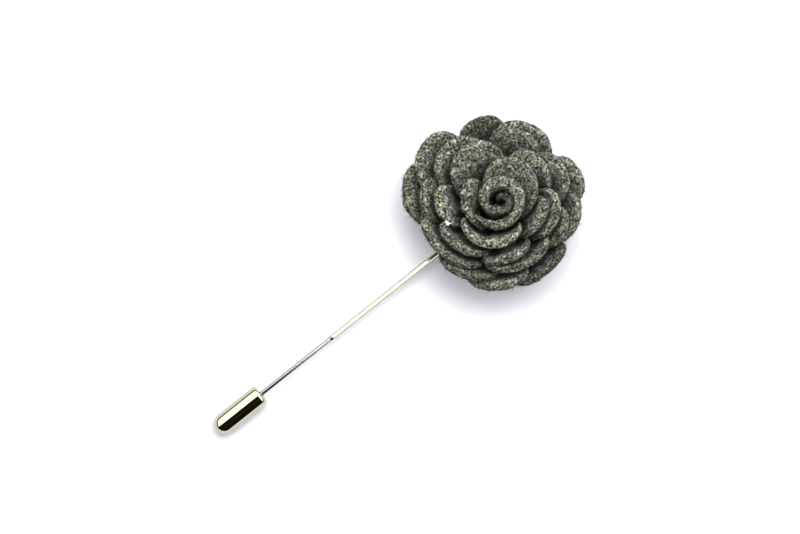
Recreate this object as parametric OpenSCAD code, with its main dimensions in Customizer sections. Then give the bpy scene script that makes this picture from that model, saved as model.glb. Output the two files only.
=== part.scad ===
// Felt flower lapel pin: a rose of nested felt petals on a straight stick pin with a bullet clutch.
// The pin lies along X with its point towards -X, the rose faces +Z, and Z = 0 is the table.
// X = 0, Y = 0 is the middle of the rose. Millimetres and degrees.

/* [Rose] */
// Thickness of the petal felt, measured across the rims as seen from above
felt_t = 0.95; // [0.7:0.05:0.98]
// Height of the petals' feet above the table
foot_z = 3.9; // [3.8:0.1:5]
// Height of the rose at its middle
crown_z = 20; // [17:0.5:23]
// Fall of the rims from the middle to the outermost petals
dome_drop = 10; // [7:0.5:11]
// Radius of a petal's foot as a share of the radius of its rim
foot_share = 0.55; // [0.5:0.01:0.6]
// How far the lip of a large petal curls out at its rim
lip = 0.7; // [0:0.1:1.4]
// How much wider the rose opens towards its open side, as a sideways run for each step up a petal
opening = 0.6; // [0:0.05:0.6]
// Depth below its rim over which a petal opens
opening_depth = 4; // [2:0.5:5]
// Azimuth of the open side, before the turn of the rose
open_side = 100; // [0:5:360]
// Width of the crevice between a petal's face and the petals inside it, at a rim radius of 10
crevice_mean = 0.5; // [0.4:0.05:1.5]
// How much wider the crevices are on their wide side and narrower on the other, as a share
crevice_swing = 0.5; // [0:0.05:0.6]
// Azimuth of the side with the wide crevices, before the turn of the rose
wide_side = 240; // [0:5:360]
// Most that a petal's face comes in below its rim
lean_max = 3; // [0:0.5:3]
// Turn of the rose on its pin
rose_turn = -38.5; // [-90:0.5:90]
// How far each side of a petal reaches past its visible end, as a share of half its width
tuck = 0.1; // [0:0.01:0.12]
// Width of a petal at its foot as a share of its full width
foot_width = 0.66; // [0.5:0.02:0.9]

/* [Rolled centre] */
// Radius of the rolled strip's outer face at its inner end
roll_in = 2; // [1.8:0.1:2.4]
// Radius of its outer face where the roll starts to open
roll_mid = 2.8; // [2.6:0.1:3]
// Radius of its outer face at its outer end
roll_out = 6.2; // [6:0.05:6.3]
// Degrees of the tight curl inside
curl_turn = 190; // [90:10:200]
// How far the tight curl bulges out between its ends
curl_bulge = 0.8; // [0:0.1:1]
// How far the inner end of the roll sinks, as a share of its height
curl_sink = 0.12; // [0:0.02:0.3]
// Degrees of the open roll
open_turn = 425; // [410:1:430]

/* [Backing] */
// Thickness of the backing felt
backing_t = 1.5; // [1:0.1:1.6]
// Radius of its flat part, which the rose stands on
backing_flat_r = 8; // [6:0.5:8.5]
// Radius of its raised edge
backing_r = 12.8; // [12.2:0.1:13.2]
// Height of the top of its raised edge
backing_edge_z = 3.8; // [3.5:0.1:3.8]

/* [Pin] */
// Diameter of the wire between the rose and the nick
shank_d = 1.2; // [1.1:0.05:1.3]
// Diameter of the wire between the nick and the point
needle_d = 1; // [0.9:0.05:1.05]
// Length of the whole wire, a three inch stick pin
wire_len = 76.2; // [76:0.1:77]
// X of the wire's end under the rose
wire_end_x = 0.2; // [0:0.1:1.5]
// X of the nick where the wire steps down
nick_x = -46.6; // [-50:0.1:-40]
// Length of the ground point
point_len = 5; // [4:0.5:6]
// Y of the wire, which passes a little beside the middle of the rose
wire_y = -1; // [-1.5:0.1:0]
// Depth of the catch groove that the clutch's mouth closes over
groove_depth = 0.12; // [0.08:0.02:0.16]
// Diameter of the soldered pad
pad_d = 10; // [8:0.5:10]
// Thickness of the pad
pad_t = 0.7; // [0.5:0.1:0.7]

/* [Clutch] */
// Outer diameter of the clutch
clutch_d = 4.76; // [4.6:0.02:5]
// Length of the clutch
clutch_len = 12.7; // [12:0.1:13]
// X of the clutch's mouth
mouth_x = -66.5; // [-67:0.1:-65]
// Round of the shoulder at the mouth
shoulder_r = 0.7; // [0.4:0.05:0.9]
// Wall of the clutch
clutch_wall = 0.5; // [0.4:0.05:0.6]
// Diameter of the hole in the mouth
mouth_hole_d = 1.5; // [1.4:0.1:2]
// Radial clearance of the needle in the grip
grip_gap = 0.04; // [0.02:0.01:0.08]

/* [Hidden] */
felt_colour = [0.38, 0.38, 0.34];
felt_dark = [0.3, 0.3, 0.27];
nickel = [0.78, 0.75, 0.69];
liner_colour = [0.85, 0.85, 0.82];

// One row for each petal, from the photograph. "from" and "to" are the azimuths between which its
// rim shows, anticlockwise as seen from above. The three radii are those of the petal's outer
// face at the first end, the middle and the second end, where it passes between its neighbours.
// The two corners are the heights of its sides there, as shares of its full height.
// Columns: from, to, first_r, middle_r, second_r, first_corner, second_corner
PETALS = [
    [129, 234, 8.5, 8.0, 7.4, 0.65, 0.75],
    [-18, 128, 7.5, 9.8, 6.9, 0.6, 0.55],
    [-54, 18, 10.6, 11.0, 10.7, 0.5, 0.3],
    [205, 318, 9.5, 10.5, 7.8, 0.8, 0.7],
    [156, 205, 13.2, 13.5, 12.6, 0.5, 0.8],
    [199, 258, 14.2, 13.9, 12.7, 0.8, 0.65],
    [256, 311, 14.2, 13.6, 12.1, 0.8, 0.7],
    [261, 328, 15.5, 15.8, 15.0, 0.8, 0.65],
    [-42, 26, 13.1, 13.7, 11.6, 0.6, 0.3],
    [321, 357, 16.6, 16.3, 14.8, 0.8, 0.8],
    [-32, 11, 17.8, 18.3, 17.7, 0.8, 0.7],
    [3, 40, 19.7, 18.9, 17.0, 0.8, 0.75],
    [3, 53, 16.0, 16.2, 14.3, 0.7, 0.8],
    [16, 81, 13.8, 12.8, 13.2, 0.6, 0.3],
    [76, 161, 11.4, 13.5, 11.2, 0.45, 0.7],
    [102, 161, 14.6, 16.4, 14.9, 0.7, 0.8],
    [121, 168, 19.4, 20.1, 18.0, 0.7, 0.8],
    [156, 194, 20.9, 20.4, 19.2, 0.85, 0.8],
    [159, 195, 16.6, 16.7, 16.4, 0.8, 0.8],
    [186, 252, 17.7, 17.1, 16.3, 0.75, 0.75],
    [223, 270, 18.5, 18.3, 17.8, 0.8, 0.65],
    [250, 294, 19.5, 19.3, 18.2, 0.8, 0.8],
    [286, 328, 20.2, 19.1, 19.2, 0.8, 0.75],
    [83, 121, 19.0, 18.3, 17.3, 0.6, 0.8],
    [41, 99, 18.3, 17.9, 16.7, 0.6, 0.45],
    [49, 96, 16.2, 15.9, 15.8, 0.6, 0.65],
];
roll_start = 280;
roll_power = 1.8;
lean_power = 8;
lean_slope = 0.6;
crevice_r = 10;
crevice_power = 2.4;

// Steps of the felt meshes: across a petal, up a sheet where they close up towards the rim, and
// the turn between ribs of the roll
petal_steps = 12;
rise_steps = 6;
roll_step = 15;

fine = 96;
round_fn = 48;
eps = 0.01;

clutch_r = clutch_d / 2;
wire_z = clutch_r;
shank_r = shank_d / 2;
needle_r = needle_d / 2;
point_x = wire_end_x - wire_len;
solder_sink = 0.1;
pad_z = wire_z + shank_r - solder_sink;
nick_len = 0.5;
cavity_r = clutch_r - clutch_wall;
lip_t = 0.6;
groove_r = needle_r - groove_depth;
seat_gap = 0.02;
grip_len = 7;
channel_r = shank_r + 0.3;
dish_r = backing_flat_r - 0.6;
rolled_edge = 2.4;
rim_r_max = 20.5;

function petal_name(i) = str("petal_", i < 10 ? "0" : "", i);

// The rose is one family of nested sheets. A sheet is named by the radius s of its rim, and t runs
// up it from its foot, 0, to its rim, 1. Sheets with different s never meet.
function sheet_r(s, t) =
    s * (foot_share + (1 - foot_share) * (t + t * t) / 2) - lip * s / (s + 8) * (1 - pow(t, 9));
function rim_z(s) = crown_z - dome_drop * pow(s / rim_r_max, 1.6);
function sheet_z(s, t) = foot_z + (rim_z(s) - foot_z) * pow(t, 1.1);
// Below its rim the whole sheet is set back from the open side, so it leans out more on that side
function set_back(s, z) = opening * opening_depth * (exp((z - rim_z(s)) / opening_depth) - 1);
function on_sheet(s, a, t) =
    let (r = sheet_r(s, t), z = sheet_z(s, t), back = set_back(s, z))
    [r * cos(a) + back * cos(open_side), r * sin(a) + back * sin(open_side), z];

function middle_az(p) = (p[0] + p[1]) / 2;
function half_width(p) = (p[1] - p[0]) / 2;
function middle_rim(p) = p[3];
// Radius of a petal's outer face at u, which is -1 at its first end and 1 at its second
function bend(p, u) =
    let (first_r = p[2], middle_r = p[3], second_r = p[4])
    middle_r + (second_r - first_r) / 2 * u + ((second_r + first_r) / 2 - middle_r) * u * u;
// Height of its rim at q, which is -1 to 1 over its whole width with the tucked ends
function rim_t(p, q) =
    let (corner = q < 0 ? p[5] : p[6])
    corner + (1 - corner) * sqrt(1 - pow(abs(q), 3));
function rows_up() = [for (k = [0:rise_steps]) 1 - pow(1 - k / rise_steps, 1.5)];
// Share of the full width at v, which is 0 at its foot and 1 at its rim
function width_at(v) = foot_width + (1 - foot_width) * sqrt(v);

// Radius of the roll's outer face, g degrees clockwise from where it opens
function roll_r(g) = g < 0
    ? roll_mid + (roll_mid - roll_in) * g / curl_turn - curl_bulge * sin(180 * g / curl_turn)
    : roll_out - (roll_out - roll_mid) * pow(max(0, 1 - g / open_turn), roll_power);
// The same by azimuth, at the outermost turn there
function roll_at(a) =
    let (g = (roll_start - a + 720) % 360)
    roll_r(g + 360 < open_turn ? g + 360 : g);
// Radius of a petal's outer face at an azimuth, or 0 where the petal doesn't reach
function face_at(p, a) =
    let (u = ((a - middle_az(p) + 900) % 360 - 180) / half_width(p))
    abs(u) <= 1 + tuck ? bend(p, u) : 0;
function crevice(r, a) =
    crevice_mean * pow(r / crevice_r, crevice_power) * (1 + crevice_swing * cos(a - wide_side));
// Room between a petal's face and the petals inside it, less its crevice, at steps over its width
function room_steps() = [for (k = [-2 * petal_steps:2 * petal_steps]) (1 + tuck) * k / (2 * petal_steps)];
function room_in(p) = [
    for (u = room_steps())
        let (
            a = middle_az(p) + u * half_width(p),
            own = bend(p, u),
            faces = [for (other = PETALS) face_at(other, a)],
            inside = [for (r = faces) if (r < own - eps) r]
        )
        max(0, own - felt_t - max(concat(inside, [roll_at(a)])) - crevice(own, a))
];
// How far below its rim a petal's face comes in at u, changing slowly over its width
function lean_in(p, room, u) =
    let (
        arc = half_width(p) * PI / 180 * middle_rim(p),
        us = room_steps(),
        free = 2 * (1 + tuck) / petal_steps,
        bounds = [
            for (k = [0:len(us) - 1])
                room[k] + lean_slope * arc * max(0, abs(u - us[k]) - free)
        ]
    )
    min(lean_max, min(bounds));

function petal_point(p, room, q, v, side) =
    let (
        u = q * (1 + tuck) * width_at(v),
        s = bend(p, u) - lean_in(p, room, u) * (1 - pow(v, lean_power))
    )
    on_sheet(s + (side - 1) * felt_t / 2, middle_az(p) + u * half_width(p), v * rim_t(p, q));

function roll_point(g, v, side) =
    let (low = min(0, curl_sink * g / curl_turn))
    on_sheet(roll_r(g) + (side - 1) * felt_t / 2, roll_start - g, v * (1 + low));

// Faces of a thick sheet from rows of points: its first face, then its second, each of m rows of n
function skin(m, n, flip) = [
    for (i = [0:m - 2], j = [0:n - 2])
        let (a = i * n + j, b = a + 1, c = a + n + 1, d = a + n)
        each flip ? [[a, b, c], [a, c, d]] : [[a, c, b], [a, d, c]]
];
function moved(faces, by) = [for (f = faces) [for (k = f) k + by]];
function edge_ring(m, n) = concat(
    [for (j = [0:n - 2]) j],
    [for (i = [0:m - 2]) i * n + n - 1],
    [for (j = [n - 1:-1:1]) (m - 1) * n + j],
    [for (i = [m - 1:-1:1]) i * n]
);
function wall(ring, by) = [
    for (k = [0:len(ring) - 1])
        let (a = ring[k], b = ring[(k + 1) % len(ring)])
        each [[a, b, b + by], [a, b + by, a + by]]
];

module thick_sheet(first, second, m, n) {
    faces = concat(
        skin(m, n, false),
        moved(skin(m, n, true), m * n),
        wall(edge_ring(m, n), m * n)
    );
    polyhedron(points = concat(first, second), faces = faces, convexity = 6);
}

module petal(i) {
    p = PETALS[i - 1];
    room = room_in(p);
    qs = [for (k = [0:petal_steps]) 2 * k / petal_steps - 1];
    vs = rows_up();
    color(felt_colour)
        rotate([0, 0, rose_turn])
            thick_sheet(
                [for (v = vs, q = qs) petal_point(p, room, q, v, 1)],
                [for (v = vs, q = qs) petal_point(p, room, q, v, -1)],
                len(vs), len(qs)
            );
}

module rolled_centre() {
    gs = [for (k = [0:floor((curl_turn + open_turn) / roll_step)]) k * roll_step - curl_turn];
    vs = rows_up();
    color(felt_colour)
        rotate([0, 0, rose_turn])
            thick_sheet(
                [for (v = vs, g = gs) roll_point(g, v, -1)],
                [for (v = vs, g = gs) roll_point(g, v, 1)],
                len(vs), len(gs)
            );
}

// A shallow felt dish with a channel where the wire leaves it
module backing_disc() {
    color(felt_dark)
        difference() {
            rotate_extrude($fn = fine)
                polygon([
                    [0, 0],
                    [backing_flat_r, 0],
                    [backing_r, backing_edge_z - backing_t / 2],
                    [backing_r, backing_edge_z],
                    [backing_r - rolled_edge, backing_edge_z - 0.2],
                    [dish_r, backing_t],
                    [0, backing_t],
                ]);
            translate([-backing_r - 1, wire_y - channel_r, wire_z - channel_r])
                cube([backing_r + 1 - dish_r, 2 * channel_r, backing_edge_z]);
        }
}

module along_wire(x) {
    translate([x, wire_y, wire_z])
        rotate([0, 90, 0])
            children();
}

module stick_pin() {
    color(nickel)
        union() {
            along_wire(nick_x)
                cylinder(h = wire_end_x - nick_x, r = shank_r, $fn = round_fn);
            along_wire(nick_x - nick_len)
                cylinder(h = nick_len, r1 = needle_r, r2 = shank_r, $fn = round_fn);
            along_wire(mouth_x)
                cylinder(h = nick_x - nick_len - mouth_x, r = needle_r, $fn = round_fn);
            along_wire(mouth_x - lip_t / 2)
                cylinder(h = lip_t / 2, r1 = groove_r, r2 = needle_r, $fn = round_fn);
            along_wire(mouth_x - lip_t)
                cylinder(h = lip_t / 2, r1 = needle_r, r2 = groove_r, $fn = round_fn);
            along_wire(point_x + point_len)
                cylinder(h = mouth_x - lip_t - point_x - point_len, r = needle_r, $fn = round_fn);
            along_wire(point_x)
                cylinder(h = point_len, r1 = 0.06, r2 = needle_r, $fn = round_fn);
            translate([0, wire_y, pad_z])
                cylinder(h = pad_t, d = pad_d, $fn = fine);
        }
}

// The profile is drawn with Y along the clutch, from its mouth at 0 to its closed end
module clutch_shell() {
    color(nickel)
        translate([mouth_x, wire_y, wire_z])
            rotate([0, -90, 0])
                rotate_extrude($fn = fine)
                    difference() {
                        union() {
                            translate([0, shoulder_r])
                                square([clutch_r, clutch_len - shoulder_r - clutch_r]);
                            square([clutch_r - shoulder_r, clutch_len - clutch_r]);
                            translate([clutch_r - shoulder_r, shoulder_r])
                                circle(r = shoulder_r, $fn = round_fn);
                            intersection() {
                                translate([0, clutch_len - clutch_r])
                                    circle(r = clutch_r, $fn = fine);
                                translate([0, clutch_len - clutch_r])
                                    square(clutch_r);
                            }
                        }
                        translate([-1, -1])
                            square([1 + mouth_hole_d / 2, 1 + lip_t + eps]);
                        translate([-1, lip_t])
                            square([1 + cavity_r, clutch_len - clutch_r - lip_t]);
                        translate([-1, -1])
                            square([1, clutch_len + 2]);
                    }
}

module clutch_grip() {
    color(liner_colour)
        translate([mouth_x - lip_t - seat_gap, wire_y, wire_z])
            rotate([0, -90, 0])
                difference() {
                    cylinder(h = grip_len, r = cavity_r - seat_gap, $fn = round_fn);
                    translate([0, 0, -1])
                        cylinder(h = grip_len + 2, r = needle_r + grip_gap, $fn = round_fn);
                }
}

for (i = [1:len(PETALS)])
    petal(i);
rolled_centre();
backing_disc();
stick_pin();
clutch_shell();
clutch_grip();
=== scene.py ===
"""Felt flower lapel pin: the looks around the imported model. Metres, in the model's own frame:
the pin lies along X with its point towards -X, the rose faces +Z, and Z = 0 is the table."""

import math

import bpy
import numpy as np
from mathutils import Matrix, Vector, noise


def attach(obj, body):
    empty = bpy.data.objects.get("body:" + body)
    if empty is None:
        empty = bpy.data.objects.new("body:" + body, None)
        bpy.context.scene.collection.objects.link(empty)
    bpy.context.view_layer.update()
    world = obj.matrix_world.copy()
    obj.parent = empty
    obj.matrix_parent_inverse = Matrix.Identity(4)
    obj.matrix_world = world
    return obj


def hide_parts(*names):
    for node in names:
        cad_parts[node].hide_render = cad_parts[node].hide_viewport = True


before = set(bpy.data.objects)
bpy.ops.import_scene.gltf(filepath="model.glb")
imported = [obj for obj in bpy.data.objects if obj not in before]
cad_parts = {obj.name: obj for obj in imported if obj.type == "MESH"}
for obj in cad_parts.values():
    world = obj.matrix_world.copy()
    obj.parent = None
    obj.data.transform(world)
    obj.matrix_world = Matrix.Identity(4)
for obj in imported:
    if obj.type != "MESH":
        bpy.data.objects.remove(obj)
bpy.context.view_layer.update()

MM = 0.001
ROSE = "rose_and_pin"
CLUTCH = "clutch"

# The rose's own sizes, in millimetres and degrees, as the model's source gives them
FOOT_Z = 3.9
CROWN_Z = 20.0
DOME_DROP = 10.0
FOOT_SHARE = 0.55
LIP = 0.7
OPENING = 0.6
OPENING_H = 4.0
OPEN_SIDE = 100.0
LEAN_POWER = 8
ROSE_TURN = -38.5
RIM_R_MAX = 20.5
TUCK = 0.1
FOOT_WIDTH = 0.66
# Columns: from, to, first_r, middle_r, second_r, first_corner, second_corner
PETALS = [
    (129, 234, 8.5, 8.0, 7.4, 0.65, 0.75),
    (-18, 128, 7.5, 9.8, 6.9, 0.6, 0.55),
    (-54, 18, 10.6, 11.0, 10.7, 0.5, 0.3),
    (205, 318, 9.5, 10.5, 7.8, 0.8, 0.7),
    (156, 205, 13.2, 13.5, 12.6, 0.5, 0.8),
    (199, 258, 14.2, 13.9, 12.7, 0.8, 0.65),
    (256, 311, 14.2, 13.6, 12.1, 0.8, 0.7),
    (261, 328, 15.5, 15.8, 15.0, 0.8, 0.65),
    (-42, 26, 13.1, 13.7, 11.6, 0.6, 0.3),
    (321, 357, 16.6, 16.3, 14.8, 0.8, 0.8),
    (-32, 11, 17.8, 18.3, 17.7, 0.8, 0.7),
    (3, 40, 19.7, 18.9, 17.0, 0.8, 0.75),
    (3, 53, 16.0, 16.2, 14.3, 0.7, 0.8),
    (16, 81, 13.8, 12.8, 13.2, 0.6, 0.3),
    (76, 161, 11.4, 13.5, 11.2, 0.45, 0.7),
    (102, 161, 14.6, 16.4, 14.9, 0.7, 0.8),
    (121, 168, 19.4, 20.1, 18.0, 0.7, 0.8),
    (156, 194, 20.9, 20.4, 19.2, 0.85, 0.8),
    (159, 195, 16.6, 16.7, 16.4, 0.8, 0.8),
    (186, 252, 17.7, 17.1, 16.3, 0.75, 0.75),
    (223, 270, 18.5, 18.3, 17.8, 0.8, 0.65),
    (250, 294, 19.5, 19.3, 18.2, 0.8, 0.8),
    (286, 328, 20.2, 19.1, 19.2, 0.8, 0.75),
    (83, 121, 19.0, 18.3, 17.3, 0.6, 0.8),
    (41, 99, 18.3, 17.9, 16.7, 0.6, 0.45),
    (49, 96, 16.2, 15.9, 15.8, 0.6, 0.65),
]
FELT_T = 0.95
RIM_SWELL = 0.45
# The roll: its rim radii, and the degrees of its tight curl and of its open turns
ROLL_IN, ROLL_MID, ROLL_OUT = 2.0, 2.8, 6.2
CURL_BULGE = 0.8
ROLL_SWELL = 1.4
CURL_SINK = 0.12
CREVICE_MEAN, CREVICE_SWING, CREVICE_R, CREVICE_POWER, WIDE_SIDE = 0.5, 0.5, 10.0, 2.4, 240.0
LEAN_SLOPE, LEAN_COLUMNS = 0.6, 12
LEAN_MAX = 3.0
CURL_TURN, OPEN_TURN, ROLL_START = 190.0, 425.0, 280.0

# The pin and clutch
WIRE_Y, WIRE_Z = -1.0, 2.38
SHANK_R, NEEDLE_R = 0.6, 0.5
NICK_X, WIRE_END_X, WIRE_LEN, POINT_LEN = -46.6, 0.2, 76.2, 5.0
MOUTH_X, CLUTCH_R, CLUTCH_LEN, SHOULDER_R, MOUTH_HOLE_R = -66.5, 2.38, 12.7, 0.7, 0.75
PAD_R, PAD_T, PAD_Z = 5.0, 0.7, 2.88

# The photograph's frame, and where two points of the pin are in it
PHOTO_W, PHOTO_H = 800, 534
PX_PER_MM = 4.55
MOUTH_PX = (261.4, 393.8)
WIRE_TURN = 38.5
CAMERA_H = 600.0
SENSOR = 36.0


def photo_axes():
    """The photograph's right and up, in the model's frame."""
    a = math.radians(WIRE_TURN)
    right = Vector((math.cos(a), -math.sin(a), 0))
    return right, Vector((math.sin(a), math.cos(a), 0))


def make_camera():
    right, up = photo_axes()
    down_right = ((PHOTO_W / 2 - MOUTH_PX[0]) / PX_PER_MM, (PHOTO_H / 2 - MOUTH_PX[1]) / PX_PER_MM)
    aim = Vector((MOUTH_X, WIRE_Y, 0)) + right * down_right[0] - up * down_right[1]
    data = bpy.data.cameras.new("camera")
    data.sensor_width = SENSOR
    data.lens = PX_PER_MM * (CAMERA_H - WIRE_Z) * SENSOR / PHOTO_W
    data.clip_start = 0.05
    data.clip_end = 20
    camera = bpy.data.objects.new("camera", data)
    bpy.context.scene.collection.objects.link(camera)
    place = (aim + Vector((0, 0, CAMERA_H))) * MM
    facing = Matrix((right, up, Vector((0, 0, 1)))).transposed().to_4x4()
    camera.matrix_world = Matrix.Translation(place) @ facing
    bpy.context.scene.camera = camera


def link(tree, a, b):
    tree.links.new(a, b)


def node(tree, kind, **values):
    """A shader node with its properties and unlinked sockets set."""
    made = tree.nodes.new(kind)
    for name, value in values.items():
        if name in made.bl_rna.properties:
            setattr(made, name, value)
        else:
            made.inputs[name.replace("_", " ")].default_value = value
    return made


def step_of(tree, source, start, end, low=0.0, high=1.0):
    """A smooth step of a value, from low at start to high at end."""
    step = node(tree, "ShaderNodeMapRange", interpolation_type="SMOOTHSTEP")
    step.inputs["From Min"].default_value = start
    step.inputs["From Max"].default_value = end
    step.inputs["To Min"].default_value = low
    step.inputs["To Max"].default_value = high
    link(tree, source, step.inputs["Value"])
    return step.outputs["Result"]


def mix_of(tree, factor, first, second):
    """A mix of two colours, each a value or a socket."""
    mix = node(tree, "ShaderNodeMix", data_type="RGBA")
    link(tree, factor, mix.inputs[0])
    for socket, colour in ((mix.inputs[6], first), (mix.inputs[7], second)):
        if isinstance(colour, tuple):
            socket.default_value = (*colour, 1)
        else:
            link(tree, colour, socket)
    return mix.outputs[2]


def make_world():
    """A bright room with a dim band above the table and a dark corner behind the camera's foot."""
    world = bpy.data.worlds.new("room")
    bpy.context.scene.world = world
    world.use_nodes = True
    tree = world.node_tree
    tree.nodes.clear()
    where = node(tree, "ShaderNodeTexCoord").outputs["Generated"]
    split = node(tree, "ShaderNodeSeparateXYZ")
    link(tree, where, split.inputs[0])
    x, y, z = (split.outputs[k] for k in "XYZ")
    bright = mix_of(tree, step_of(tree, z, 0.22, 0.34), (0.2, 0.2, 0.15), ROOM_COLOUR)
    streak = node(tree, "ShaderNodeMath", operation="MULTIPLY")
    link(tree, step_of(tree, y, -0.60, -0.56), streak.inputs[0])
    link(tree, step_of(tree, y, -0.46, -0.50), streak.inputs[1])
    corner = mix_of(tree, streak.outputs[0], (0.022, 0.013, 0.01), (0.075, 0.055, 0.045))
    out_of_corner = node(tree, "ShaderNodeMath", operation="MAXIMUM")
    link(tree, step_of(tree, x, -0.066, -0.03), out_of_corner.inputs[0])
    link(tree, step_of(tree, y, 0.075, 0.115), out_of_corner.inputs[1])
    back = node(tree, "ShaderNodeBackground")
    link(tree, mix_of(tree, out_of_corner.outputs[0], corner, bright), back.inputs["Color"])
    out = node(tree, "ShaderNodeOutputWorld")
    link(tree, back.outputs[0], out.inputs["Surface"])


KEY_POWER = 10.6
ROOM_COLOUR = (1.08, 1.09, 1.1)


def make_light():
    """One soft panel at the photograph's upper right."""
    right, up = photo_axes()
    data = bpy.data.lights.new("key", "AREA")
    data.shape = "RECTANGLE"
    data.size = 0.95
    data.size_y = 0.7
    data.energy = KEY_POWER
    data.color = (1.0, 0.985, 0.96)
    lamp = bpy.data.objects.new("key", data)
    bpy.context.scene.collection.objects.link(lamp)
    place = (right * 0.14 + up * 0.45 + Vector((0, 0, 0.84)))
    lamp.matrix_world = Matrix.Translation(place) @ place.to_track_quat("Z", "Y").to_matrix().to_4x4()


def make_floor():
    mesh = bpy.data.meshes.new("table")
    half = 2.0
    corners = [(-half, -half, 0), (half, -half, 0), (half, half, 0), (-half, half, 0)]
    mesh.from_pydata(corners, [], [(0, 1, 2, 3)])
    table = bpy.data.objects.new("table", mesh)
    bpy.context.scene.collection.objects.link(table)
    mat = bpy.data.materials.new("table_white")
    mat.use_nodes = True
    bsdf = mat.node_tree.nodes["Principled BSDF"]
    bsdf.inputs["Base Color"].default_value = (0.365, 0.365, 0.375, 1)
    bsdf.inputs["Emission Color"].default_value = (0.97, 0.99, 1.06, 1)
    bsdf.inputs["Emission Strength"].default_value = 0.18
    bsdf.inputs["Roughness"].default_value = 0.9
    bsdf.inputs["Specular IOR Level"].default_value = 0.1
    mesh.materials.append(mat)


def ramp_of(tree, source, stops):
    """A colour ramp over a noise's factor, from (position, colour) stops."""
    ramp = node(tree, "ShaderNodeValToRGB")
    marks = ramp.color_ramp.elements
    for (at, colour), mark in zip((stops[0], stops[-1]), marks):
        mark.position = at
        mark.color = (*colour, 1)
    for at, colour in stops[1:-1]:
        marks.new(at).color = (*colour, 1)
    link(tree, source, ramp.inputs["Fac"])
    return ramp.outputs["Color"]


def spread_of(tree, source, low, high, start=0.3, end=0.7):
    """Maps a factor from start..end to low..high."""
    spread = node(tree, "ShaderNodeMapRange")
    spread.inputs["From Min"].default_value = start
    spread.inputs["From Max"].default_value = end
    spread.inputs["To Min"].default_value = low
    spread.inputs["To Max"].default_value = high
    link(tree, source, spread.inputs["Value"])
    return spread.outputs["Result"]


def felt(name, face, rim, tints, patch):
    """Melange wool felt: dark and light fibres felted together, clearer on the rims than on the faces, and
    painted lighter on the rims as a highlight.
    """
    mat = bpy.data.materials.new(name)
    mat.use_nodes = True
    tree = mat.node_tree
    bsdf = tree.nodes["Principled BSDF"]
    where = node(tree, "ShaderNodeTexCoord").outputs["Object"]

    def noise_of(scale, detail=2.0, rough=0.6):
        made = node(tree, "ShaderNodeTexNoise", Scale=scale, Detail=detail, Roughness=rough)
        link(tree, where, made.inputs["Vector"])
        return made.outputs["Fac"]

    fine = noise_of(2000.0, 3.0, 0.62)
    # Rims take the lighter rim ramp, a painted highlight, and the cut edge's own speckle further down
    rim_speck_and_highlight = node(tree, "ShaderNodeAttribute", attribute_name="rim").outputs["Fac"]
    both = node(tree, "ShaderNodeMix", data_type="RGBA")
    link(tree, rim_speck_and_highlight, both.inputs[0])
    link(tree, ramp_of(tree, fine, face), both.inputs[6])
    link(tree, ramp_of(tree, fine, rim), both.inputs[7])
    tint = ramp_of(tree, noise_of(450.0, 1.5), tints)
    coloured = node(tree, "ShaderNodeVectorMath", operation="MULTIPLY")
    link(tree, both.outputs[2], coloured.inputs[0])
    link(tree, tint, coloured.inputs[1])
    tinted = node(tree, "ShaderNodeVectorMath", operation="SCALE")
    link(tree, coloured.outputs["Vector"], tinted.inputs[0])
    link(tree, spread_of(tree, noise_of(800.0, 3.0), 1 - patch, 1 + patch), tinted.inputs["Scale"])
    speck = node(tree, "ShaderNodeTexVoronoi", Scale=1000.0)
    link(tree, where, speck.inputs["Vector"])
    speckled = node(tree, "ShaderNodeVectorMath", operation="SCALE")
    link(tree, tinted.outputs["Vector"], speckled.inputs[0])
    link(tree, step_of(tree, speck.outputs["Distance"], 0.12, 0.34, 0.45, 1.0), speckled.inputs["Scale"])
    edge = node(tree, "ShaderNodeMix", data_type="RGBA")
    link(tree, rim_speck_and_highlight, edge.inputs[0])
    link(tree, tinted.outputs["Vector"], edge.inputs[6])
    link(tree, speckled.outputs["Vector"], edge.inputs[7])
    # Each piece's tone scales its colour; on the petals and the roll this is painted light and shade
    toned = node(tree, "ShaderNodeVectorMath", operation="SCALE")
    link(tree, edge.outputs[2], toned.inputs[0])
    link(tree, node(tree, "ShaderNodeAttribute", attribute_name="tone_and_painted_light").outputs["Fac"], toned.inputs["Scale"])
    link(tree, toned.outputs["Vector"], bsdf.inputs["Base Color"])
    bump = node(tree, "ShaderNodeBump", Strength=0.55, Distance=0.00012)
    link(tree, fine, bump.inputs["Height"])
    link(tree, bump.outputs["Normal"], bsdf.inputs["Normal"])
    bsdf.inputs["Roughness"].default_value = 0.95
    bsdf.inputs["Specular IOR Level"].default_value = 0.12
    bsdf.inputs["Sheen Weight"].default_value = 0.12
    bsdf.inputs["Sheen Roughness"].default_value = 0.6
    return mat


def wool(name, colour):
    """One colour of loose fibre."""
    mat = bpy.data.materials.new(name)
    mat.use_nodes = True
    bsdf = mat.node_tree.nodes["Principled BSDF"]
    bsdf.inputs["Base Color"].default_value = (*colour, 1)
    bsdf.inputs["Roughness"].default_value = 0.9
    bsdf.inputs["Specular IOR Level"].default_value = 0.15
    return mat


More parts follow.
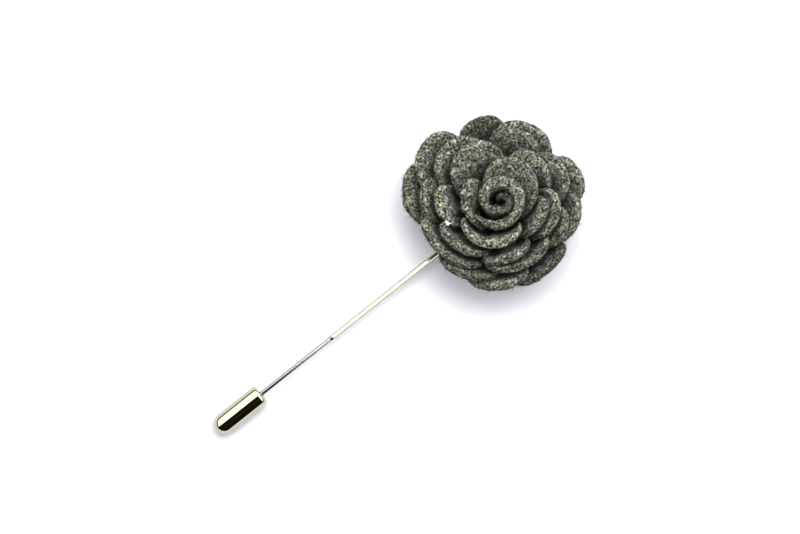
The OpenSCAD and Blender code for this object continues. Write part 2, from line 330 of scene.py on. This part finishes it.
def plated(name, colour, rough, dark_reflection=None):
    """Polished plate with faint polishing marks, and a painted dark reflection of the rose along the top of
    the shank under it.
    """
    mat = bpy.data.materials.new(name)
    mat.use_nodes = True
    tree = mat.node_tree
    bsdf = tree.nodes["Principled BSDF"]
    bsdf.inputs["Base Color"].default_value = (*colour, 1)
    bsdf.inputs["Metallic"].default_value = 1.0
    where = node(tree, "ShaderNodeTexCoord")
    marks = node(tree, "ShaderNodeTexNoise", Scale=900.0, Detail=3.0, Roughness=0.6)
    link(tree, where.outputs["Object"], marks.inputs["Vector"])
    spread = node(tree, "ShaderNodeMapRange")
    spread.inputs["To Min"].default_value = rough * 0.7
    spread.inputs["To Max"].default_value = rough * 1.5
    link(tree, marks.outputs["Fac"], spread.inputs["Value"])
    link(tree, spread.outputs["Result"], bsdf.inputs["Roughness"])
    if dark_reflection:
        # A painted reflection: the top of the shank under the rose is darkened as if mirroring the dark felt
        # above it
        split = node(tree, "ShaderNodeSeparateXYZ")
        link(tree, where.outputs["Object"], split.inputs[0])
        near = step_of(tree, split.outputs["X"], -0.0215, -0.0185)
        off_top = node(tree, "ShaderNodeMath", operation="ABSOLUTE")
        shifted = node(tree, "ShaderNodeMath", operation="SUBTRACT")
        link(tree, split.outputs["Y"], shifted.inputs[0])
        shifted.inputs[1].default_value = (WIRE_Y + 0.1) * MM
        link(tree, shifted.outputs[0], off_top.inputs[0])
        top = step_of(tree, off_top.outputs[0], 0.00034, 0.00016)
        share = node(tree, "ShaderNodeMath", operation="MULTIPLY")
        link(tree, near, share.inputs[0])
        link(tree, top, share.inputs[1])
        link(tree, mix_of(tree, share.outputs[0], colour, dark_reflection), bsdf.inputs["Base Color"])
    bump = node(tree, "ShaderNodeBump", Strength=0.04, Distance=0.00005)
    link(tree, marks.outputs["Fac"], bump.inputs["Height"])
    link(tree, bump.outputs["Normal"], bsdf.inputs["Normal"])
    return mat


def sheet_r(s, t):
    return s * (FOOT_SHARE + (1 - FOOT_SHARE) * (t + t * t) / 2) - LIP * s / (s + 8) * (1 - t**9)


def rim_z(s):
    return CROWN_Z - DOME_DROP * (s / RIM_R_MAX) ** 1.6


def on_sheet(s, azimuth, t):
    """Points of the nested sheets, in millimetres: s names a sheet by its rim's radius."""
    t = np.maximum(t, 0)
    r = sheet_r(s, t)
    z = FOOT_Z + (rim_z(s) - FOOT_Z) * t**1.1
    a = np.radians(azimuth + ROSE_TURN)
    away = math.radians(OPEN_SIDE + ROSE_TURN)
    shift = OPENING * OPENING_H * (np.exp((z - rim_z(s)) / OPENING_H) - 1)
    x = r * np.cos(a) + shift * math.cos(away)
    y = r * np.sin(a) + shift * math.sin(away)
    return np.stack([x, y, z], axis=-1)


def bend(p, u):
    first, middle, second = p[2:5]
    return middle + (second - first) / 2 * u + ((second + first) / 2 - middle) * u * u


def roll_face(g):
    """Radius of the roll's outer face, g degrees clockwise from where it opens."""
    open_r = ROLL_OUT - (ROLL_OUT - ROLL_MID) * np.clip(1 - g / OPEN_TURN, 0, None) ** 1.8
    tight_r = ROLL_MID + (ROLL_MID - ROLL_IN) * g / CURL_TURN - CURL_BULGE * np.sin(np.pi * g / CURL_TURN)
    return np.where(g < 0, tight_r, open_r)


def face_at(p, azimuth):
    """Radius of a petal's outer face at an azimuth, or 0 where it doesn't reach."""
    u = ((azimuth - (p[0] + p[1]) / 2 + 180) % 360 - 180) / ((p[1] - p[0]) / 2)
    return bend(p, u) if abs(u) <= 1 + TUCK else 0


def room_in(p):
    """Room between a petal's face and the petals inside it, less its crevice, at steps over its width."""
    middle, half_width = (p[0] + p[1]) / 2, (p[1] - p[0]) / 2
    steps = np.linspace(-1 - TUCK, 1 + TUCK, 4 * LEAN_COLUMNS + 1)
    room = []
    for u in steps:
        azimuth = middle + u * half_width
        own = bend(p, u)
        inner = [face_at(other, azimuth) for other in PETALS]
        g = (ROLL_START - azimuth) % 360
        inner = [r for r in inner if r < own - 0.01]
        inner.append(roll_face(g + 360 if g + 360 < OPEN_TURN else g))
        crevice = CREVICE_MEAN * (own / CREVICE_R) ** CREVICE_POWER
        crevice *= 1 + CREVICE_SWING * math.cos(math.radians(azimuth - WIDE_SIDE))
        room.append(max(0, own - FELT_T - max(inner) - crevice))
    return steps, np.array(room)


def lean_in(p, u):
    """How far below its rim a petal's face comes in at u, changing slowly over its width."""
    steps, room = room_in(p)
    arc_mm = math.radians((p[1] - p[0]) / 2) * p[3]
    away = np.maximum(0, np.abs(u[..., None] - steps) - (1 + TUCK) * 2 / LEAN_COLUMNS) * arc_mm
    return np.minimum(LEAN_MAX, (room + LEAN_SLOPE * away).min(axis=-1))


def rim_t(p, q):
    corner = np.where(q < 0, p[5], p[6])
    return corner + (1 - corner) * np.sqrt(np.clip(1 - np.abs(q) ** 3, 0, 1))


# A sheet's section, going up its inner side, over its rim and down its outer side
SIDE_ROWS = 28
RIM_ROWS = 8
PETAL_COLUMNS = 90
ROLL_COLUMNS = 320

# Shares of a sheet: its rounded side ends, its swelling rim, and the part coloured as rim, speckled and
# painted lighter as a highlight
ROUND_END = 0.04
SWELL_BAND = 0.28
RIM_BAND = 0.16

# The felt's unevenness: how far it moves the surface in millimetres, and how often
FUZZ_WAVES = ((0.14, 0.33), (0.09, 1.1), (0.09, 2.9))

# Seeds of the roll and the backing, and loose fibres on each piece; a petal's seed is its number
ROLL_SEED = 40
BACKING_SEED = 60
PETAL_NAP = 1100
ROLL_NAP = 2400
BACKING_NAP = 1800

# How much lighter or darker the felt of some pieces is, by seed: on the petals and the roll this is painted
# light and shade
BACKING_TONE = 0.9
PAINTED_LIGHT_AND_SHADE = {
    2: 0.85,
    4: 1.25,
    5: 1.15,
    11: 0.85,
    15: 0.85,
    17: 0.9,
    18: 0.85,
    21: 0.75,
    23: 0.6,
    24: 0.55,
    25: 0.85,
    26: 0.85,
    ROLL_SEED: 1.1,
}


def section():
    """(v, side) of the points round a sheet's section: v from foot to rim, side from -1 to 1."""
    up = 1 - (1 - np.linspace(0, 1, SIDE_ROWS)) ** 1.5
    over = np.linspace(0, math.pi, RIM_ROWS + 2)[1:-1]
    across = np.sign(np.cos(over)) * np.abs(np.cos(over)) ** 0.75
    v = np.concatenate([up, np.ones(RIM_ROWS), up[::-1]])
    side = np.concatenate([-np.ones(SIDE_ROWS), -across, np.ones(SIDE_ROWS)])
    lift = np.concatenate([np.zeros(SIDE_ROWS), np.sin(over) ** 0.6, np.zeros(SIDE_ROWS)])
    return v, side, lift


def fuzz(points, normals, seed):
    """Felt is uneven: a slow swell and a fine grain, along the normals. Millimetres."""
    shift = Vector((seed * 7.31, seed * 3.17, seed * 5.71))
    out = np.zeros(len(points))
    for i, p in enumerate(points):
        q = Vector(p) + shift
        out[i] = sum(size * noise.noise(q * rate) for size, rate in FUZZ_WAVES)
    return points + normals * out[:, None]


def grid_normals(points):
    """Normals of a grid of points that wraps round its second axis."""
    along = np.gradient(points, axis=0)
    round_it = np.roll(points, -1, axis=1) - np.roll(points, 1, axis=1)
    n = np.cross(round_it, along)
    size = np.linalg.norm(n, axis=-1, keepdims=True)
    return n / np.maximum(size, 1e-9)


def tube_faces(columns, ring):
    faces = []
    for i in range(columns - 1):
        for j in range(ring):
            k = (j + 1) % ring
            faces.append((i * ring + j, i * ring + k, (i + 1) * ring + k, (i + 1) * ring + j))
    half = ring // 2
    for base, flip in ((0, False), ((columns - 1) * ring, True)):
        for j in range(half - 1):
            quad = (base + j, base + ring - 1 - j, base + ring - 2 - j, base + j + 1)
            faces.append(quad[::-1] if flip else quad)
    return faces


def add_mesh(name, points, faces, mat, smooth=True):
    mesh = bpy.data.meshes.new(name)
    mesh.from_pydata([tuple(p) for p in np.asarray(points) * MM], [], faces)
    mesh.validate()
    if smooth:
        mesh.polygons.foreach_set("use_smooth", [True] * len(mesh.polygons))
    mesh.materials.append(mat)
    made = bpy.data.objects.new(name, mesh)
    bpy.context.scene.collection.objects.link(made)
    return made


def felt_piece(name, s_of, azimuth_of, t_of, qs, mat, seed, rim_swell):
    """A thick sheet of felt as one closed mesh, and its section's grid of points."""
    v, side, lift = section()
    q, ring_v = np.meshgrid(qs, v, indexing="ij")
    ring_side = np.broadcast_to(side, q.shape)
    ring_lift = np.broadcast_to(lift, q.shape)
    past = ((np.abs(q) - (1 - ROUND_END)) / ROUND_END).clip(0, 1)
    ends = np.sqrt(np.clip(1 - past**2, 0.02, 1))
    t = ring_v * t_of(q)
    near_rim = np.clip((ring_v - (1 - SWELL_BAND)) / SWELL_BAND, 0, 1)
    swell = rim_swell(q) * (1 - np.abs(q) ** 4) * near_rim * near_rim * (3 - 2 * near_rim)
    thick = (FELT_T + swell) * ends
    face = s_of(q, ring_v) - FELT_T / 2 * (1 - ends)
    s = face + (ring_side - 1) * np.minimum(thick, 0.9 * face) / 2
    t = t + ring_lift * 0.022
    points = on_sheet(s, azimuth_of(q, ring_v), t)
    normals = grid_normals(points)
    flat = fuzz(points.reshape(-1, 3), normals.reshape(-1, 3), seed)
    piece = add_mesh(name, flat, tube_faces(len(qs), len(v)), mat)
    # The rim band and the crown take the rim colour: a painted highlight, with the rim's own speckle
    rim = piece.data.attributes.new("rim", "FLOAT", "POINT")
    coloured = np.clip((ring_v - (1 - RIM_BAND)) / RIM_BAND, 0, 1)
    rim.data.foreach_set("value", np.where(ring_lift > 0, 1.0, coloured).ravel())
    # Each piece's tone; on the petals and the roll it is painted light and shade
    shade = piece.data.attributes.new("tone_and_painted_light", "FLOAT", "POINT")
    shade.data.foreach_set("value", np.full(points.shape[:2], PAINTED_LIGHT_AND_SHADE.get(seed, 1.0)).ravel())
    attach(piece, ROSE)
    return piece, flat.reshape(points.shape)


# Loose fibres: their width, and the chance of each colour
FIBRE_W = 0.055
FIBRE_SHARES = (0.40, 0.32, 0.22, 0.06)


def fibre_mesh(
    name, starts, along, across, lengths, turns, lifts, widths, kinds, mats, steps=4
):
    """Curved ribbons: each starts at a point, runs along, turns towards across and lifts off the surface."""
    n = len(starts)
    up = np.cross(across, along)
    up /= np.linalg.norm(up, axis=1, keepdims=True)
    step = (lengths / (steps - 1))[:, None]
    place, heading = starts.copy(), np.zeros(n)
    rows = []
    for k in range(steps):
        forward = np.cos(heading)[:, None] * along + np.sin(heading)[:, None] * across
        sideways = -np.sin(heading)[:, None] * along + np.cos(heading)[:, None] * across
        taper = 1 - 0.6 * (k / (steps - 1)) ** 2
        half = sideways * (widths * taper / 2)[:, None]
        rise = up * (lifts * (k / (steps - 1)) ** 2)[:, None]
        rows.append(np.stack([place + rise - half, place + rise + half], axis=1))
        place = place + forward * step
        heading = heading + turns * step[:, 0]
    points = np.stack(rows, axis=1).reshape(-1, 3)
    points[:, 2] = np.maximum(points[:, 2], 0)
    faces, mat_of = [], []
    for i in range(n):
        base = i * steps * 2
        for k in range(steps - 1):
            a = base + 2 * k
            faces.append((a, a + 1, a + 3, a + 2))
            mat_of.append(int(kinds[i]))
    piece = add_mesh(name, points, faces, mats[0])
    for mat in mats[1:]:
        piece.data.materials.append(mat)
    piece.data.polygons.foreach_set("material_index", mat_of)
    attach(piece, ROSE)
    return piece


def make_nap(name, grid, seed, count, mats):
    """Short fibres lying on a felt sheet and standing off its rim."""
    rng = np.random.default_rng(seed)
    columns, ring = grid.shape[:2]
    rows = np.concatenate([
        np.arange(6, SIDE_ROWS),
        np.repeat(np.arange(SIDE_ROWS, SIDE_ROWS + RIM_ROWS), 5),
        np.arange(SIDE_ROWS + RIM_ROWS, ring - 12),
    ])
    i = rng.integers(1, columns - 1, count)
    j = rng.choice(rows, count)
    du = grid[i + 1, j] - grid[i - 1, j]
    dv = grid[i, j + 1] - grid[i, j - 1]
    starts = grid[i, j] + du * rng.uniform(-0.25, 0.25, (count, 1))
    starts = starts + dv * rng.uniform(-0.25, 0.25, (count, 1))
    du /= np.linalg.norm(du, axis=1, keepdims=True)
    normal = np.cross(du, dv)
    normal /= np.maximum(np.linalg.norm(normal, axis=1, keepdims=True), 1e-9)
    starts += normal * rng.uniform(0.02, 0.07, (count, 1))
    angle = rng.uniform(0, 2 * math.pi, (count, 1))
    side = np.cross(normal, du)
    along = np.cos(angle) * du + np.sin(angle) * side
    return fibre_mesh(
        name,
        starts,
        along,
        np.cross(along, normal),
        rng.uniform(0.4, 1.3, count),
        rng.normal(0, 1.6, count),
        rng.normal(0.05, 0.12, count),
        rng.uniform(0.6, 1.4, count) * FIBRE_W,
        rng.choice(len(FIBRE_SHARES), count, p=FIBRE_SHARES),
        mats,
    )


def make_petal(i, p, mat, naps):
    middle, half_width = (p[0] + p[1]) / 2, (p[1] - p[0]) / 2
    x = np.linspace(-1, 1, PETAL_COLUMNS)
    qs = np.sign(x) * (1 - (1 - np.abs(x)) ** 1.5)

    def u_of(q, v):
        return q * (1 + TUCK) * (FOOT_WIDTH + (1 - FOOT_WIDTH) * np.sqrt(v))

    name = f"felt_petal_{i:02d}"
    piece, grid = felt_piece(
        name,
        lambda q, v: bend(p, u_of(q, v)) - lean_in(p, u_of(q, v)) * (1 - v**LEAN_POWER),
        lambda q, v: middle + u_of(q, v) * half_width,
        lambda q: rim_t(p, q),
        qs,
        mat,
        i,
        lambda q: RIM_SWELL,
    )
    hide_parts(f"petal_{i:02d}")
    nap = make_nap(f"felt_nap_{i:02d}", grid, 100 + i, PETAL_NAP, naps)
    return grid


def make_roll(mat, naps):
    turn = CURL_TURN + OPEN_TURN

    def g_of(q):
        return (q + 1) / 2 * turn - CURL_TURN

    piece, grid = felt_piece(
        "felt_roll",
        lambda q, v: roll_face(g_of(q)),
        lambda q, v: ROLL_START - g_of(q),
        lambda q: 1 + np.minimum(0, CURL_SINK * g_of(q) / CURL_TURN),
        np.linspace(-1, 1, ROLL_COLUMNS),
        mat,
        ROLL_SEED,
        lambda q: ROLL_SWELL * np.clip((q + 1) / 1.3, 0.2, 1) ** 1.5,
    )
    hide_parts("rolled_centre")
    nap = make_nap("felt_nap_roll", grid, 100 + ROLL_SEED, ROLL_NAP, naps)


# The backing's section from its middle to its rim, as (radius, height), and where the wire runs over it
BACKING_TOP = [(0.3, 1.5), (7.4, 1.5), (10.4, 3.6), (12.6, 3.78)]
BACKING_RIM = [(12.72, 3.7), (12.8, 3.5), (12.8, 3.2), (12.74, 3.06)]
BACKING_UNDER = [(12.6, 2.95), (8.0, 0.0), (7.4, 0.0), (0.3, 0.0)]
CHANNEL_TOP = [(0.3, 1.5), (7.4, 1.48), (10.1, 1.46)]
CHANNEL_RIM = [(10.24, 1.42), (10.26, 1.4), (10.24, 1.37), (10.2, 1.34)]
CHANNEL_UNDER = [(10.1, 1.28), (8.0, 0.0), (7.4, 0.0), (0.3, 0.0)]
BACKING_R = 12.8
CHANNEL_R = 0.9
BACKING_FUZZ = 0.6


def along_line(corners, count):
    """Points at even steps along a line with corners."""
    corners = np.array(corners)
    far = np.concatenate([[0], np.cumsum(np.linalg.norm(np.diff(corners, axis=0), axis=1))])
    at = np.linspace(0, far[-1], count)
    return np.stack([np.interp(at, far, corners[:, k]) for k in (0, 1)], axis=1)


def backing_section(top, rim, under):
    lines = ((top, SIDE_ROWS), (rim, RIM_ROWS), (under, SIDE_ROWS))
    return np.concatenate([along_line(corners, count) for corners, count in lines])


def make_backing(mat, naps):
    """A shallow dish of felt under the rose, with a channel where the wire leaves it."""
    full = backing_section(BACKING_TOP, BACKING_RIM, BACKING_UNDER)
    cut = backing_section(CHANNEL_TOP, CHANNEL_RIM, CHANNEL_UNDER)
    beside = [WIRE_Y + d for d in (1.3, 0.95, 0.87, 0.45, 0, -0.45, -0.87, -0.95, -1.3)]
    turns = [a for a in np.arange(0, 360, 3.0) if a < 178 or a > 192]
    turns = sorted(turns + [180 - math.degrees(math.asin(y / BACKING_R)) for y in beside])
    columns = []
    for turn in turns:
        y_rim = BACKING_R * math.sin(math.radians(turn))
        in_channel = turn > 90 and turn < 270 and abs(y_rim - WIRE_Y) < CHANNEL_R
        r, z = (cut if in_channel else full).T
        straight = np.clip((22 - abs(turn - 180)) / 12, 0, 1) * np.clip((r - 3) / 4, 0, 1)
        y = (1 - straight) * r * math.sin(math.radians(turn)) + straight * y_rim
        x = np.sqrt(np.maximum(r * r - y * y, 0)) * math.copysign(1, math.cos(math.radians(turn)))
        columns.append(np.stack([x, y, z], axis=1))
    grid = np.array(columns)
    count, ring = grid.shape[:2]
    along = np.roll(grid, -1, axis=0) - np.roll(grid, 1, axis=0)
    round_it = np.roll(grid, -1, axis=1) - np.roll(grid, 1, axis=1)
    normals = np.cross(round_it, along)
    normals /= np.maximum(np.linalg.norm(normals, axis=-1, keepdims=True), 1e-9)
    uneven = fuzz(grid.reshape(-1, 3), normals.reshape(-1, 3), BACKING_SEED).reshape(grid.shape)
    soft = grid + (uneven - grid) * BACKING_FUZZ
    soft[..., 2] = np.maximum(soft[..., 2], 0)
    faces = []
    for i in range(count):
        for j in range(ring - 1):
            a, b = i * ring + j, ((i + 1) % count) * ring + j
            faces.append((a, a + 1, b + 1, b))
    faces.append(tuple(i * ring for i in range(count)))
    faces.append(tuple(i * ring + ring - 1 for i in range(count))[::-1])
    piece = add_mesh("felt_backing", soft.reshape(-1, 3), faces, mat)
    # The backing's rim band takes the rim colour too: a painted highlight, with the rim's own speckle
    rim = np.zeros((count, ring))
    rim[:, SIDE_ROWS - 3 : SIDE_ROWS + RIM_ROWS + 3] = 1
    for name, values in (("rim", rim.ravel()), ("tone_and_painted_light", np.full(count * ring, BACKING_TONE))):
        piece.data.attributes.new(name, "FLOAT", "POINT").data.foreach_set("value", values)
    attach(piece, ROSE)
    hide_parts("backing_disc")
    nap = make_nap("felt_nap_backing", soft, 100 + BACKING_SEED, BACKING_NAP, naps)


# Long loose fibres, the petals that have them, and the speck of lint, in millimetres
STRAYS_A_PETAL = 9
OUTER_PETALS = (11, 12, 17, 18, 20, 21, 22, 23, 24, 25)
LINT_AT = (-11.46, 2.85)
LINT_FIBRES = 34


def top_of(grids, x, y, near=0.5):
    """Height of the highest felt within a small distance of a place."""
    points = np.concatenate([g.reshape(-1, 3) for g in grids])
    close = np.hypot(points[:, 0] - x, points[:, 1] - y) < near
    return points[close, 2].max()


def make_strays(grids, mats):
    """A few long fibres that stand off the outer petals."""
    rng = np.random.default_rng(7)
    starts = []
    for grid in grids:
        for i in rng.integers(8, grid.shape[0] - 8, STRAYS_A_PETAL):
            starts.append(grid[i, SIDE_ROWS + RIM_ROWS + int(rng.integers(0, 5))])
    starts = np.array(starts)
    count = len(starts)
    out = starts * (1, 1, 0)
    out /= np.linalg.norm(out, axis=1, keepdims=True)
    angle = rng.normal(0, 0.7, (count, 1))
    side = np.stack([-out[:, 1], out[:, 0], np.zeros(count)], axis=1)
    along = np.cos(angle) * out + np.sin(angle) * side
    across = -np.sin(angle) * out + np.cos(angle) * side
    fibre_mesh(
        "stray_fibres",
        starts,
        along,
        across,
        rng.gamma(2.0, 0.75, count) + 0.3,
        rng.normal(0, 0.9, count),
        rng.normal(0, 0.4, count),
        rng.uniform(0.025, 0.045, count),
        rng.choice(4, count, p=(0.15, 0.35, 0.3, 0.2)),
        mats,
        steps=9,
    )




def make_lint(grids, mat):
    """A speck of white lint caught on the felt."""
    rng = np.random.default_rng(11)
    count = LINT_FIBRES
    x = LINT_AT[0] + rng.normal(0, 0.2, count)
    y = LINT_AT[1] + rng.normal(0, 0.26, count)
    z = top_of(grids, *LINT_AT) + rng.uniform(0.0, 0.25, count)
    angle = rng.uniform(0, 2 * math.pi, count)
    along = np.stack([np.cos(angle), np.sin(angle), rng.normal(0, 0.2, count)], axis=1)
    along /= np.linalg.norm(along, axis=1, keepdims=True)
    across = np.cross((0, 0, 1.0), along)
    across /= np.linalg.norm(across, axis=1, keepdims=True)
    fibre_mesh(
        "lint_speck",
        np.stack([x, y, z], axis=1),
        along,
        across,
        rng.uniform(0.3, 0.8, count),
        rng.normal(0, 2.0, count),
        rng.uniform(0, 0.25, count),
        rng.uniform(0.07, 0.13, count),
        np.zeros(count, dtype=int),
        [mat],
        steps=6,
    )


# Details of the turned pieces, in millimetres
EDGE = 0.08
NICK_LEN = 0.5
LIP_T = 0.6
GROOVE_DEPTH = 0.12
WIRE_SIDES = 48


def lathe(profile, segments):
    """Points (x, y, z) and faces of a profile of (x, r) points turned round the X axis."""
    angles = np.linspace(0, 2 * math.pi, segments, endpoint=False)
    points = [(x, r * math.cos(a), r * math.sin(a)) for x, r in profile for a in angles]
    faces = []
    for i in range(len(profile) - 1):
        for j in range(segments):
            k = (j + 1) % segments
            faces.append((i * segments + j, i * segments + k, (i + 1) * segments + k, (i + 1) * segments + j))
    faces.append(tuple(range(segments))[::-1])
    faces.append(tuple(range((len(profile) - 1) * segments, len(profile) * segments)))
    return points, faces


def flat_ends(piece):
    """The round ends of a turned piece are flat, and the rest of it is smooth."""
    for face in piece.data.polygons:
        face.use_smooth = len(face.vertices) == 4


def arc(x, r, radius, start, end, steps):
    return [
        (x + radius * math.cos(math.radians(a)), r + radius * math.sin(math.radians(a)))
        for a in np.linspace(start, end, steps)
    ]


def make_pin(plate, steel, solder):
    """The wire from its point to its end under the rose, with the round pad soldered on it."""
    point_x = WIRE_END_X - WIRE_LEN
    groove_x = MOUTH_X - LIP_T
    needle = [(point_x, 0.03), (point_x + 0.15, 0.08)]
    for f in (0.2, 0.4, 0.6, 0.8):
        needle.append((point_x + POINT_LEN * f, NEEDLE_R * math.sin(math.pi / 2 * f) ** 0.8))
    needle += [(point_x + POINT_LEN, NEEDLE_R), (point_x + POINT_LEN + EDGE, NEEDLE_R)]
    needle += [(groove_x - EDGE, NEEDLE_R), (groove_x, NEEDLE_R)]
    needle.append((groove_x + LIP_T / 2, NEEDLE_R - GROOVE_DEPTH))
    needle += [(MOUTH_X, NEEDLE_R), (MOUTH_X + EDGE, NEEDLE_R)]
    needle += [(NICK_X - NICK_LEN - EDGE, NEEDLE_R), (NICK_X - NICK_LEN, NEEDLE_R)]
    shank = [(NICK_X, SHANK_R), (NICK_X + EDGE, SHANK_R)]
    shank += [(WIRE_END_X - 0.1 - EDGE, SHANK_R), (WIRE_END_X - 0.1, SHANK_R), (WIRE_END_X, SHANK_R - 0.1)]
    points, faces = lathe(needle + shank, WIRE_SIDES)
    kinds = [1 if points[f[0]][0] < NICK_X - 0.01 and points[f[2]][0] < NICK_X + 0.01 else 0 for f in faces]
    points = [(x, WIRE_Y + a, WIRE_Z + b) for x, a, b in points]
    pad = [(0, PAD_R - 0.1), (0.1, PAD_R), (PAD_T - 0.1, PAD_R), (PAD_T, PAD_R - 0.1)]
    pad_points, pad_faces = lathe(pad, 96)
    base = len(points)
    points += [(a, WIRE_Y + b, PAD_Z + x) for x, a, b in pad_points]
    faces += [tuple(base + k for k in f) for f in pad_faces]
    kinds += [2] * len(pad_faces)
    # The shank's plate carries the painted dark reflection of the rose along its top
    piece = add_mesh("pin_wire", points, faces, plate)
    piece.data.materials.append(steel)
    piece.data.materials.append(solder)
    piece.data.polygons.foreach_set("material_index", kinds)
    flat_ends(piece)
    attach(piece, ROSE)
    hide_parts("stick_pin")


def make_clutch(mat):
    """The bullet-shaped cap, open at its mouth."""
    r, end = CLUTCH_R, MOUTH_X - CLUTCH_LEN
    outside = [(MOUTH_X - LIP_T, MOUTH_HOLE_R), (MOUTH_X - EDGE, MOUTH_HOLE_R)]
    outside.append((MOUTH_X, MOUTH_HOLE_R + EDGE))
    outside += arc(MOUTH_X - SHOULDER_R, r - SHOULDER_R, SHOULDER_R, 0, 90, 16)
    outside += [(MOUTH_X - SHOULDER_R - EDGE, r), (end + r + EDGE, r)]
    outside += arc(end + r, 0, r, 90, 179, 32)
    points, faces = lathe(outside[::-1], 128)
    shell = add_mesh("clutch_cap", [(x, WIRE_Y + a, WIRE_Z + b) for x, a, b in points], faces, mat)
    flat_ends(shell)
    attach(shell, CLUTCH)
    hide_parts("clutch_shell")


make_camera()
make_world()
make_light()
make_floor()

FACE_FELT = [
    (0.33, (0.02, 0.02, 0.019)),
    (0.46, (0.066, 0.067, 0.062)),
    (0.60, (0.132, 0.134, 0.125)),
    (0.74, (0.196, 0.198, 0.184)),
]
# The rims' felt: lighter than the faces as a painted highlight, with a clearer speckle of its own
RIM_FELT_WITH_PAINTED_HIGHLIGHT = [
    (0.35, (0.016, 0.016, 0.015)),
    (0.46, (0.092, 0.093, 0.081)),
    (0.58, (0.222, 0.224, 0.194)),
    (0.70, (0.325, 0.326, 0.287)),
]
FELT_TINTS = [(0.36, (0.97, 0.98, 1.03)), (0.5, (1.0, 1.005, 0.98)), (0.64, (1.03, 1.02, 0.91))]
felt_grey = felt("felt_grey", FACE_FELT, RIM_FELT_WITH_PAINTED_HIGHLIGHT, FELT_TINTS, 0.58)
fibres = [
    wool("fibre_black", (0.014, 0.014, 0.013)),
    wool("fibre_grey", (0.115, 0.116, 0.103)),
    wool("fibre_olive", (0.23, 0.231, 0.206)),
    wool("fibre_cream", (0.31, 0.312, 0.282)),
]
PLATE = (0.585, 0.572, 0.47)
PAINTED_DARK_REFLECTION = (0.03, 0.02, 0.012)
plate = plated("nickel_plate", PLATE, 0.04)
plate_with_painted_reflection = plated("plate_painted_reflection", PLATE, 0.04, PAINTED_DARK_REFLECTION)
steel = plated("needle_steel", (0.43, 0.43, 0.415), 0.05)
solder = plated("solder_grey", (0.3, 0.3, 0.28), 0.5)
liner = wool("liner_white", (0.8, 0.8, 0.77))

make_backing(felt_grey, fibres)
petal_grids = [make_petal(number, row, felt_grey, fibres) for number, row in enumerate(PETALS, 1)]
make_roll(felt_grey, fibres)
make_strays([petal_grids[k - 1] for k in OUTER_PETALS], fibres)
make_lint(petal_grids, wool("lint_white", (0.56, 0.56, 0.56)))
make_pin(plate_with_painted_reflection, steel, solder)
make_clutch(plate)

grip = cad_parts["clutch_grip"].data
grip.materials.clear()
grip.materials.append(liner)

scene = bpy.context.scene
scene.view_settings.view_transform = "Standard"
scene.view_settings.exposure = 0.82
scene.view_settings.gamma = 0.68
